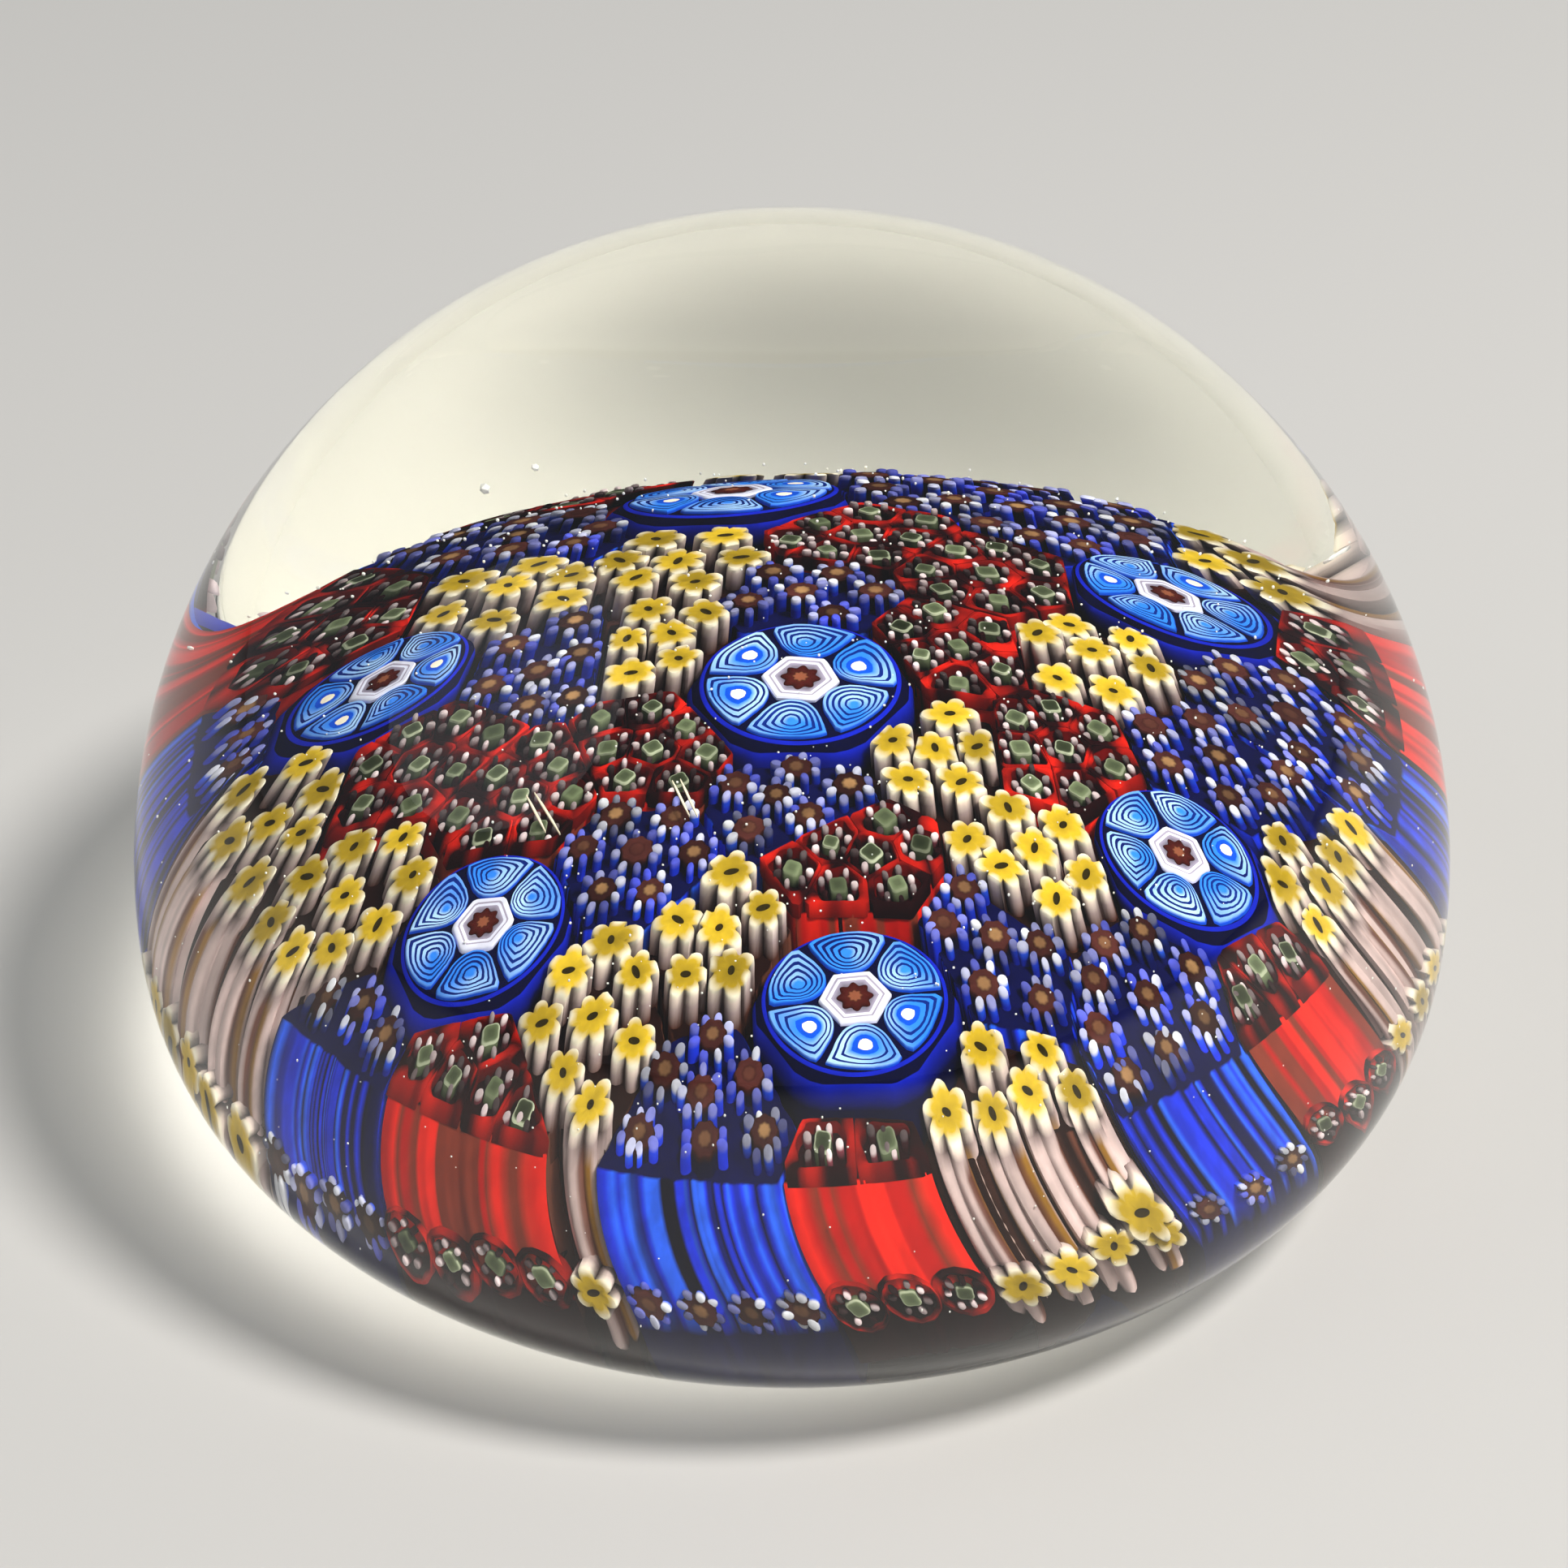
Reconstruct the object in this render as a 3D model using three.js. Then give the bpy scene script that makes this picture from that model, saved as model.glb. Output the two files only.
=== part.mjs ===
// Millefiori paperweight: a clear glass dome over a domed cushion of coloured glass canes.
// Millimetres, +Z up, the ground base at z = 0, the axis of the dome on Z.
import * as THREE from "three";

// ---- the dome ----
const DOME_R = 45; // widest radius
const DOME_H = 60.8; // overall height
const WIDEST_Z = 16.4; // height of the widest circle
const UPPER_POWER = 1.96; // 2 would be a true ellipse
const LOWER_POWER = 2.39;
const TUCK_Z = -6.4; // where the lower curve would close if the base were not ground off

// ---- the cushion of canes ----
const CUSHION_R = 27.4; // radius of the shoulder, where the cane tops end
const CUSHION_TOP = 26.5; // crown of the cushion
const CROWN_DROP = 9.8; // fall from the crown to the shoulder, r^2 term
const SHOULDER_DROP = 1.8; // r^6 term, rounding the shoulder
const FLOOR_Z = 5.2; // cane ends under the crown
const RIM_LIFT = 0.8; // cane ends rise this much towards the rim
const RIM_POWER = 4;
const FLARE = 0.13; // the sides spread this much from the shoulder to the foot
const TWIST = 7; // degrees that the cane ends are turned further round than the tops
const SHIFT = [0.4, -0.2]; // the cushion is a little off the axis of the dome
const LEAN = [0.027, -0.027]; // and a little out of level

// ---- the pattern ----
const FLOWER_PITCH = 20.2; // from the middle rosette to the six round it
const FLOWER_PHASE = 38; // degrees, the first of the six
const BUNDLE_PITCH = 7.6; // from a rosette to the six bundles round it
const ROSETTE_R = 5.3;
const ROSETTE_SHARE = 19.7; // how far a rosette pushes its neighbours back, mm^2
const GAP = 0.36; // between canes
const GLASS_GAP = 0.35; // between the canes and the glass
const PAD_R = 26.0; // clear pad under the cushion

// One row per flower: where it stands (0 is the middle), how far its bundles are turned,
// and the order of the three bundle colours, counter-clockwise, given twice round.
const FLOWERS = [
  { at: 0, turn: 28, order: ["red", "blue", "yellow"] },
  { at: 1, turn: 11, order: ["red", "yellow", "blue"] },
  { at: 2, turn: 12, order: ["blue", "yellow", "red"] },
  { at: 3, turn: 38, order: ["yellow", "red", "blue"] },
  { at: 4, turn: 14, order: ["blue", "red", "yellow"] },
  { at: 5, turn: 32, order: ["blue", "red", "yellow"] },
  { at: 6, turn: 25, order: ["yellow", "blue", "red"] },
];

const rad = (degrees) => (degrees * Math.PI) / 180;
const polar = (radius, degrees) =>
  new THREE.Vector2(Math.cos(rad(degrees)), Math.sin(rad(degrees))).multiplyScalar(radius);

// ---- materials ----
const material = (color, roughness) =>
  new THREE.MeshStandardMaterial({ color, roughness, metalness: 0 });
const clearGlass = () => {
  const glass = material(0xe6e9dd, 0.03);
  glass.transparent = true;
  glass.opacity = 0.25;
  return glass;
};
const CANE_COLORS = { rosette: 0x3f8ff0, red: 0xa3201c, yellow: 0xd8bd45, blue: 0x1c2f9e };

// ---- the shape of the cushion ----
// Height of the cane tops and of the cane ends over a point at radius r on the shoulder plane.
const topZ = (r) => {
  const t = r / CUSHION_R;
  return CUSHION_TOP - CROWN_DROP * t ** 2 - SHOULDER_DROP * t ** 6;
};
const endZ = (r) => FLOOR_Z + RIM_LIFT * (r / CUSHION_R) ** RIM_POWER;
// Sideways scale of the cushion at a share s of the way from the cane ends to the tops.
const swell = (s) => 1 + FLARE * Math.sin((Math.PI / 2) * (1 - s));

// The cushion as it set: shifted and leaning a little. The ground base stays flat.
function settled(geometry, touches = () => true) {
  const position = geometry.getAttribute("position");
  for (let i = 0; i < position.count; i++) {
    const [x, y, z] = [position.getX(i), position.getY(i), position.getZ(i)];
    if (!touches(Math.hypot(x, y), z)) continue;
    const lean = LEAN[0] * x + LEAN[1] * y;
    position.setXYZ(i, x + SHIFT[0], y + SHIFT[1], z < 0.01 ? z : z + lean);
  }
  geometry.computeVertexNormals();
  return geometry;
}

// A cane is its outline drawn out and then bent with the cushion.
function bentCane(outline) {
  const straight = new THREE.ExtrudeGeometry(new THREE.Shape(outline), {
    depth: 1,
    steps: 5,
    bevelEnabled: false,
    curveSegments: 1,
  });
  const position = straight.getAttribute("position");
  for (let i = 0; i < position.count; i++) {
    const x = position.getX(i);
    const y = position.getY(i);
    const s = position.getZ(i);
    const r = Math.hypot(x, y);
    const twist = rad(TWIST) * (1 - s) ** 1.5;
    const bent = new THREE.Vector2(x, y).rotateAround(new THREE.Vector2(), twist);
    bent.multiplyScalar(swell(s));
    position.setXYZ(i, bent.x, bent.y, THREE.MathUtils.lerp(endZ(r), topZ(r), s));
  }
  return settled(straight);
}

// ---- outlines ----
function circle(radius, sides, centre = new THREE.Vector2()) {
  return Array.from({ length: sides }, (_, i) =>
    polar(radius, (360 * (i + 0.5)) / sides).add(centre),
  );
}

// The part of a polygon on the near side of the line n.p = d.
function clip(polygon, n, d) {
  const kept = [];
  polygon.forEach((a, i) => {
    const b = polygon[(i + 1) % polygon.length];
    const da = n.dot(a) - d;
    const db = n.dot(b) - d;
    if (da <= 0) kept.push(a);
    if (da * db < 0) kept.push(a.clone().lerp(b, da / (da - db)));
  });
  return kept;
}

// Corners closer than a fifth of a millimetre are one corner.
const tidy = (polygon) =>
  polygon.filter((p, i) => p.distanceTo(polygon[(i + 1) % polygon.length]) > 0.2);

// Long edges are divided, so that neighbouring walls bend alike.
const divided = (polygon, longest) =>
  polygon.flatMap((p, i) => {
    const next = polygon[(i + 1) % polygon.length];
    const parts = Math.ceil(p.distanceTo(next) / longest);
    return Array.from({ length: parts }, (_, j) => p.clone().lerp(next, j / parts));
  });

// The room a cane has between its neighbours: rosettes hold more of it than bundles do.
function roomOf(site, sites) {
  let outline = site.kind === "rosette" ? circle(ROSETTE_R, 20, site.at) : circle(CUSHION_R, 48);
  for (const other of sites) {
    if (other === site) continue;
    const across = other.at.clone().sub(site.at);
    const distance = across.length();
    if (distance > 3 * BUNDLE_PITCH) continue;
    const share = (distance ** 2 + site.share - other.share) / (2 * distance);
    const n = across.divideScalar(distance);
    outline = clip(outline, n, n.dot(site.at) + share - GAP / 2);
  }
  return divided(tidy(outline), 3);
}

// ---- the pattern: seven flowers, each a rosette and six bundles ----
function layout() {
  const sites = [];
  for (const flower of FLOWERS) {
    const centre =
      flower.at === 0
        ? new THREE.Vector2()
        : polar(FLOWER_PITCH, FLOWER_PHASE + 60 * (flower.at - 1));
    sites.push({
      name: `rosette_${flower.at}`,
      kind: "rosette",
      at: centre,
      share: ROSETTE_SHARE,
    });
    for (let i = 0; i < 6; i++) {
      const kind = flower.order[i % 3];
      sites.push({
        name: `bundle_${flower.at}_${kind}_${i < 3 ? "a" : "b"}`,
        kind,
        at: centre.clone().add(polar(BUNDLE_PITCH, flower.turn + 60 * i)),
        share: 0,
      });
    }
  }
  return sites;
}

// ---- the glass ----
function domeProfile() {
  const outer = [];
  const curve = (z, height, power) =>
    DOME_R * (1 - Math.abs((z - WIDEST_Z) / height) ** power) ** (1 / power);
  const upper = 18;
  for (let i = 0; i <= upper; i++) {
    const a = (Math.PI / 2) * (1 - i / upper);
    const z = WIDEST_Z + (DOME_H - WIDEST_Z) * Math.sin(a);
    outer.push(new THREE.Vector2(i === 0 ? 0 : curve(z, DOME_H - WIDEST_Z, UPPER_POWER), z));
  }
  const lower = 9;
  for (let i = 1; i <= lower; i++) {
    const z = WIDEST_Z * Math.cos((Math.PI / 2) * (i / lower));
    outer.push(new THREE.Vector2(curve(z, WIDEST_Z - TUCK_Z, LOWER_POWER), i === lower ? 0 : z));
  }
  return outer;
}

// The hollow the cushion fills: from the pad's opening, round the sides and over the crown.
function hollowProfile() {
  const wall = [new THREE.Vector2(PAD_R + GLASS_GAP, 0)];
  const steps = 7;
  for (let i = 0; i <= steps; i++) {
    const s = i / steps;
    const z = THREE.MathUtils.lerp(endZ(CUSHION_R), topZ(CUSHION_R), s);
    wall.push(new THREE.Vector2(CUSHION_R * swell(s) + GLASS_GAP + 0.1, z));
  }
  const top = 8;
  for (let i = 0; i <= top; i++) {
    const r = CUSHION_R * (1 - i / top);
    wall.push(new THREE.Vector2(r, topZ(r) + GLASS_GAP + 0.15));
  }
  return wall;
}

// A profile turned about the Z axis.
const turned = (profile) => new THREE.LatheGeometry(profile, 48).rotateX(Math.PI / 2);

// Only the wall of the hollow leans with the cushion.
const inHollow = (r, z) => r < CUSHION_R * swell(0) + 1 && z < CUSHION_TOP + 1;
const domeGlass = () => settled(turned([...domeProfile(), ...hollowProfile()].reverse()), inHollow);

// The clear pad the canes stand on; its underside is ground flat.
function padGlass() {
  const top = [];
  const steps = 5;
  for (let i = 0; i <= steps; i++) {
    const r = PAD_R * (i / steps);
    top.push(new THREE.Vector2(r, endZ(r / swell(0)) - GLASS_GAP));
  }
  return settled(turned([new THREE.Vector2(0, 0), new THREE.Vector2(PAD_R, 0), ...top.reverse()]));
}

function named(name, geometry, mat) {
  const mesh = new THREE.Mesh(geometry, mat);
  mesh.name = name;
  return mesh;
}

function paperweight() {
  const group = new THREE.Group();
  group.name = "millefiori_paperweight";
  group.add(named("dome_glass", domeGlass(), clearGlass()));
  group.add(named("base_pad", padGlass(), clearGlass()));
  const sites = layout();
  for (const site of sites) {
    const cane = bentCane(roomOf(site, sites));
    group.add(named(site.name, cane, material(CANE_COLORS[site.kind], 0.35)));
  }
  return group;
}

export default paperweight();
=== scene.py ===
"""Millefiori paperweight: a clear glass dome over a domed cushion of coloured glass canes.

Every cane bundle stands in the room its CAD node holds, pushed up to its rosette, and is built here
as what it is: a casing with two to nine star canes in it, by its size. Points on the plan are
complex numbers, x + y * 1j, in millimetres; place() bends them with the cushion and gives metres.
"""

import cmath
import math
import random

import bmesh
import bpy
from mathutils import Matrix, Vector, noise


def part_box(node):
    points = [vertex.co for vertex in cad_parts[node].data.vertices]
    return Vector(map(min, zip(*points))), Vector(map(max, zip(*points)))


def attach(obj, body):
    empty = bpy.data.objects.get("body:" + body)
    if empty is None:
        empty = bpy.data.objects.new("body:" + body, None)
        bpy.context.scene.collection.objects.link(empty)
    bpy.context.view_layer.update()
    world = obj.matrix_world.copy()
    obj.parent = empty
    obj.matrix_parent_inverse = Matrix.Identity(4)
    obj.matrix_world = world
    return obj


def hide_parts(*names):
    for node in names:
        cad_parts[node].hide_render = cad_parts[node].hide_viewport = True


MM = 0.001

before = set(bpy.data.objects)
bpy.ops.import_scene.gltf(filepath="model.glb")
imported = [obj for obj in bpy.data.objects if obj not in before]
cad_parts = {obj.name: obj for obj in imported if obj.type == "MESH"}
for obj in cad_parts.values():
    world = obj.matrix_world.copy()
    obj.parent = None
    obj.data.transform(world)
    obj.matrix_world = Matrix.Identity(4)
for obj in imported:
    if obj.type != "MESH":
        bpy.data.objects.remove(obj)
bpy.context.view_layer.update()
dome_low, dome_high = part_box("dome_glass")
DOME_R = (dome_high.x - dome_low.x) / 2 / MM
DOME_H = dome_high.z / MM

# ---- camera ----
CAMERA_ELEVATION = math.radians(34.8)
CAMERA_DISTANCE = 6.169 * DOME_R * MM
CAMERA_TARGET = Vector((-0.012, 0.0, 0.494)) * DOME_R * MM
CAMERA_LENS = 93.2


def make_camera():
    back = Vector((0, -math.cos(CAMERA_ELEVATION), math.sin(CAMERA_ELEVATION)))
    camera = bpy.data.objects.new("camera", bpy.data.cameras.new("camera"))
    camera.data.lens = CAMERA_LENS
    camera.location = CAMERA_TARGET + back * CAMERA_DISTANCE
    camera.rotation_mode = "QUATERNION"
    camera.rotation_quaternion = (-back).to_track_quat("-Z", "Y")
    bpy.context.scene.collection.objects.link(camera)
    bpy.context.scene.camera = camera


make_camera()

# ---- the dome, as in the CAD ----
WIDEST_Z = 16.4
TUCK_Z = -6.4
UPPER_POWER = 1.96
LOWER_POWER = 2.39

# ---- the cushion, as in the CAD ----
CUSHION_R = 27.4
CUSHION_TOP = 26.5
CROWN_DROP = 9.8
SHOULDER_DROP = 1.8
FLOOR_Z = 5.2
RIM_LIFT = 0.8
RIM_POWER = 4
FLARE = 0.13
TWIST = math.radians(7)  # the cane ends are turned this much further round than the tops
SHIFT = 0.4 - 0.2j  # off the axis of the dome
LEAN = 0.027 - 0.027j  # rise for each millimetre of x and y


def top_z(r):
    t = r / CUSHION_R
    return CUSHION_TOP - CROWN_DROP * t**2 - SHOULDER_DROP * t**6


def end_z(r):
    return FLOOR_Z + RIM_LIFT * (r / CUSHION_R) ** RIM_POWER


def height(p):
    return top_z(abs(p)) - end_z(abs(p))


def lean(p):
    return (LEAN.conjugate() * p).real


def place(p, share):
    """The point of a cane above p on the plan, at a share of the way from its end to its top."""
    low = max(1 - share, 0.0)
    swell = 1 + FLARE * math.sin(math.pi / 2 * low)
    q = p * swell * cmath.rect(1, TWIST * low**1.5)
    z = end_z(abs(p)) + height(p) * share + lean(q)
    q += SHIFT
    return (q.real * MM, q.imag * MM, z * MM)


def from_top(p, depth):
    return place(p, 1 - depth / height(p))


def on_wall(centre, rise, proud):
    """from_top for an end that faces outward from the wall, at a rise above its foot."""
    away = centre / abs(centre)

    def at(p, depth):
        across = (p - centre) / away
        share = (rise - across.real) / height(CUSHION_R)
        turn = cmath.rect(1, across.imag / CUSHION_R)
        return place(away * turn * (CUSHION_R + proud - depth), share)

    return at


# ---- the rosettes' sizes ----
ROSETTE_R = 5.3  # as in the CAD
HEART = 1.65  # from the middle to the flat sides of the white hexagon
PETAL_RING = 3.05  # to the middles of the petals
PETAL_REACH = 4.7  # to their outer ends
COLLAR_RIM, CASING_RIM, BUNDLE_RIM = 0.25, 0.5, 0.55  # from the petals to what stands round them
FACING_R = 6.5  # a bundle's corners nearer than this are on the side that faces its rosette
# One per rosette: how far its petals are turned, its size, and how much it tilts for each part
# that the cushion under it does.
ROSETTES = {
    0: (81, 1.0, 1.0),
    1: (78, 0.8, 1.25),
    2: (80, 0.9, 1.2),
    3: (93, 0.76, 1.25),
    4: (72, 0.86, 0.9),
    5: (98, 1.0, 0.5),
    6: (92, 0.82, 1.0),
}


# ---- colour ----
def rgb(code):
    """Linear colour from a six-figure hexadecimal sRGB code."""
    parts = [int(code[i : i + 2], 16) / 255 for i in (0, 2, 4)]
    return tuple(c / 12.92 if c <= 0.04045 else ((c + 0.055) / 1.055) ** 2.4 for c in parts)


def mix(a, b, share):
    share = min(max(share, 0.0), 1.0)
    return tuple(x + (y - x) * share for x, y in zip(a, b))


def shade(colour, factor):
    return tuple(c * factor for c in colour)


CREAM, YELLOW, MUSTARD, OLIVE = rgb("fff6e0"), rgb("dcb82c"), rgb("8e6420"), rgb("2c2408")
PINK, BROWN, DARK_BROWN = rgb("dcc2c0"), rgb("62382a"), rgb("1e0c08")
LILAC_WHITE, COBALT, NAVY = rgb("f4f6ff"), rgb("1630d8"), rgb("06083a")
BRIGHT_BLUE, BLUE_BLACK = rgb("2a66ff"), rgb("07071c")
CENTRE_BROWN, TAN = rgb("4a2420"), rgb("a07a52")
RED, BRIGHT_RED, RED_BROWN, MAROON = rgb("b8140f"), rgb("ee2415"), rgb("7c3020"), rgb("1c0507")
SAGE, PALE_SAGE, DEEP_SAGE = rgb("6f7b5c"), rgb("b9c1a6"), rgb("262c1c")
SKY, PALE_SKY, DEEP_SKY, INK = rgb("2f82f0"), rgb("b4daff"), rgb("0f50d8"), rgb("06125a")
# Near-black DEEP_ROYAL is painted shade where it stands on a rosette casing's top and lower sides.
ROYAL, DEEP_ROYAL = rgb("1020b4"), rgb("03042a")
PEARL, GREY_PEARL = rgb("e2e4fa"), rgb("a49cb4")
COG, COG_DOT = rgb("3c120e"), rgb("8a5038")
PETAL_PINK, PETAL_ROSE = rgb("f3dfe4"), rgb("7a3844")
GROUND = rgb("8f8f90")


# ---- mesh building ----
class Shape:
    """Rings of points and the coloured bands between them."""

    def __init__(self):
        self.points, self.faces, self.paints = [], [], []

    def ring(self, points):
        start = len(self.points)
        self.points.extend(points)
        return range(start, len(self.points))

    def band(self, a, b, paint_a, paint_b):
        count = len(a)
        paint_a, paint_b = spread(paint_a, count), spread(paint_b, count)
        for i in range(count):
            j = (i + 1) % count
            self.faces.append((a[i], a[j], b[j], b[i]))
            self.paints.append((paint_a[i], paint_a[j], paint_b[j], paint_b[i]))

    def cap(self, ring, paint):
        self.faces.append(tuple(ring))
        self.paints.append(spread(paint, len(ring)))

    def stack(self, at, levels):
        """A closed body through levels of (outline, depth, paint below, paint above).

        The band above a level starts in that level's second paint; the one below ends in its first.
        """
        rings = [self.ring([at(p, depth) for p in outline]) for outline, depth, _, _ in levels]
        for k in range(len(levels) - 1):
            self.band(rings[k], rings[k + 1], levels[k][3], levels[k + 1][2])
        self.cap(rings[0], levels[0][2])
        self.cap(rings[-1], levels[-1][3])

    def ring_body(self, at, levels):
        """Like stack, but the last level joins the first, as round an annulus."""
        rings = [self.ring([at(p, depth) for p in outline]) for outline, depth, _, _ in levels]
        for k in range(len(levels)):
            following = (k + 1) % len(levels)
            self.band(rings[k], rings[following], levels[k][3], levels[following][2])


def spread(paint, count):
    return list(paint) if isinstance(paint[0], tuple) else [paint] * count


def finish_piece(name, shape, material, slot, *nodes):
    mesh = bpy.data.meshes.new(name)
    mesh.from_pydata(shape.points, [], shape.faces)
    paint = mesh.color_attributes.new("paint", "FLOAT_COLOR", "CORNER")
    flat = [value for face in shape.paints for c in face for value in (*c, 1.0)]
    paint.data.foreach_set("color", flat)
    work = bmesh.new()
    work.from_mesh(mesh)
    bmesh.ops.recalc_face_normals(work, faces=work.faces)
    work.to_mesh(mesh)
    work.free()
    mesh.shade_smooth()
    mesh.set_sharp_from_angle(angle=math.radians(40))
    mesh.materials.append(material)
    piece = bpy.data.objects.new(name, mesh)
    bpy.context.scene.collection.objects.link(piece)
    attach(piece, "root")
    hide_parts(*nodes)


# ---- outlines on the plan ----
def angles(count):
    return [2 * math.pi * i / count for i in range(count)]


def centroid(polygon):
    area = total = 0
    for a, b in zip(polygon, polygon[1:] + polygon[:1]):
        cross = (a.conjugate() * b).imag
        area += cross
        total += (a + b) * cross
    return total / (3 * area)


def area_of(polygon):
    return sum((a.conjugate() * b).imag for a, b in zip(polygon, polygon[1:] + polygon[:1])) / 2


def clip(polygon, normal, limit):
    """The part of a polygon where the distance along normal is under limit."""
    kept = []
    for a, b in zip(polygon, polygon[1:] + polygon[:1]):
        da = (normal.conjugate() * a).real - limit
        db = (normal.conjugate() * b).real - limit
        if da <= 0:
            kept.append(a)
        if da * db < 0:
            kept.append(a + (b - a) * da / (da - db))
    return kept


def reach(polygon, centre, angle):
    """How far it is from centre to a polygon's edge in one direction."""
    away = cmath.rect(1, angle)
    nearest = 1e9
    for a, b in zip(polygon, polygon[1:] + polygon[:1]):
        edge = b - a
        turn = (away.conjugate() * edge).imag
        if abs(turn) < 1e-9:
            continue
        distance = ((a - centre).conjugate() * edge).imag / turn
        along = ((a - centre).conjugate() * away).imag / turn
        if distance > 0 and -1e-6 <= along <= 1 + 1e-6:
            nearest = min(nearest, distance)
    return nearest


def outline_of(polygon, centre, count, inset=0.0):
    return [centre + cmath.rect(reach(polygon, centre, a) - inset, a) for a in angles(count)]


def scaled(outline, centre, factor):
    return [centre + (p - centre) * factor for p in outline]


ON_RIM = 0.99 * CUSHION_R  # a corner further out than this is on the rim


def round_the_rim(polygon):
    """The rim edges of a room are arcs of the shoulder, so they get more corners, on the circle."""
    finer = []
    for a, b in zip(polygon, polygon[1:] + polygon[:1]):
        finer.append(a)
        if min(abs(a), abs(b)) > ON_RIM:
            for i in (1, 2, 3, 4, 5):
                p = a + (b - a) * i / 6
                finer.append(p / abs(p) * CUSHION_R)
    return finer


GROWTH = 1.03  # the fused bundles fill nearly all of the gaps between their nodes


def room_of(node):
    """The outline of a CAD cane on the plan, from the ring of vertices round its top."""
    seen = {}
    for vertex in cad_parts[node].data.vertices:
        p = complex(vertex.co.x, vertex.co.y) / MM - SHIFT
        if abs(vertex.co.z / MM - lean(p) - top_z(abs(p))) < 0.02:
            seen[(round(p.real, 2), round(p.imag, 2))] = p
    corners = list(seen.values())
    middle = sum(corners) / len(corners)
    corners.sort(key=lambda p: cmath.phase(p - middle))
    corners = scaled(corners, centroid(corners), GROWTH)
    return round_the_rim([p * min(1, CUSHION_R / abs(p)) for p in corners])


def crowded(room, flower):
    """The small canes are pushed right up to the rim of their rosette, small or large."""
    centre = centroid(room_of(f"rosette_{flower}"))
    nearest = min(abs(p - centre) for p in room)
    pull = (PETAL_REACH * ROSETTES[flower][1] + BUNDLE_RIM) / nearest
    return [centre + (p - centre) * pull if abs(p - centre) < FACING_R else p for p in room]


CANE_AREA = {"red": 5.6, "yellow": 7.0, "blue": 6.6}  # of one small cane, mm^2
FEWEST, MOST = 2, 10  # small canes that a bundle may have


def cells_of(room, kind, rng):
    """A room's small canes, spread evenly. Each is its middle and its outline."""
    middle = centroid(room)
    count = min(max(round(area_of(room) / CANE_AREA[kind]), FEWEST), MOST)
    turn = rng.uniform(0, math.pi)
    seeds = [middle] if count > 5 else []
    around = count - len(seeds)
    for i in range(around):
        a = turn + 2 * math.pi * i / around
        seeds.append(middle + cmath.rect(0.6 * reach(room, middle, a), a))
    cells = []
    for _ in range(8):
        cells = []
        for seed in seeds:
            cell = room
            for other in seeds:
                if other != seed:
                    normal = (other - seed) / abs(other - seed)
                    half_way = (normal.conjugate() * (seed + other) / 2).real
                    cell = clip(cell, normal, half_way - 0.02)
            cells.append(cell)
        seeds = [centroid(cell) for cell in cells]
    return list(zip(seeds, cells))


def at_rim(cell):
    return max(abs(p) for p in cell) > 0.985 * CUSHION_R


# ---- materials ----
GLASS_IOR = 1.52
GLASS_TINT = (0.985, 0.99, 0.905, 1)
# How much light the outer glass passes where a shadow ray goes into it and out of it. A ray from
# the floor does both, and a ray from a cane only the second.
PASSED_IN, PASSED_OUT = 0.06, 0.9


def node_material(name):
    material = bpy.data.materials.new(name)
    material.use_nodes = True
    return material, material.node_tree, material.node_tree.nodes["Principled BSDF"]


def cane_material(name, streak, contrast, roughness):
    """Coloured glass set in clear glass: its colour comes from the canes' own pattern, clouded and
    streaked along the cane. It has no surface shine, since the clear glass round it matches it."""
    material, tree, shader = node_material(name)
    paint = tree.nodes.new("ShaderNodeAttribute")
    paint.attribute_name = "paint"
    place_at = tree.nodes.new("ShaderNodeTexCoord")
    stretch = tree.nodes.new("ShaderNodeMapping")
    stretch.inputs["Scale"].default_value = (1, 1, streak)
    cloud = tree.nodes.new("ShaderNodeTexNoise")
    cloud.inputs["Scale"].default_value = 900
    cloud.inputs["Detail"].default_value = 3
    levels = tree.nodes.new("ShaderNodeMapRange")
    levels.inputs["From Min"].default_value = 0.3
    levels.inputs["From Max"].default_value = 0.7
    levels.inputs["To Min"].default_value = 1 - contrast
    levels.inputs["To Max"].default_value = 1 + contrast
    blend = tree.nodes.new("ShaderNodeMix")
    blend.data_type = "RGBA"
    blend.blend_type = "MULTIPLY"
    blend.inputs["Factor"].default_value = 1
    tree.links.new(place_at.outputs["Object"], stretch.inputs["Vector"])
    tree.links.new(stretch.outputs["Vector"], cloud.inputs["Vector"])
    tree.links.new(cloud.outputs["Fac"], levels.inputs["Value"])
    tree.links.new(paint.outputs["Color"], blend.inputs["A"])
    tree.links.new(levels.outputs["Result"], blend.inputs["B"])
    tree.links.new(blend.outputs["Result"], shader.inputs["Base Color"])
    shader.inputs["Roughness"].default_value = roughness
    shader.inputs["Specular IOR Level"].default_value = 0
    return material


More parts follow.
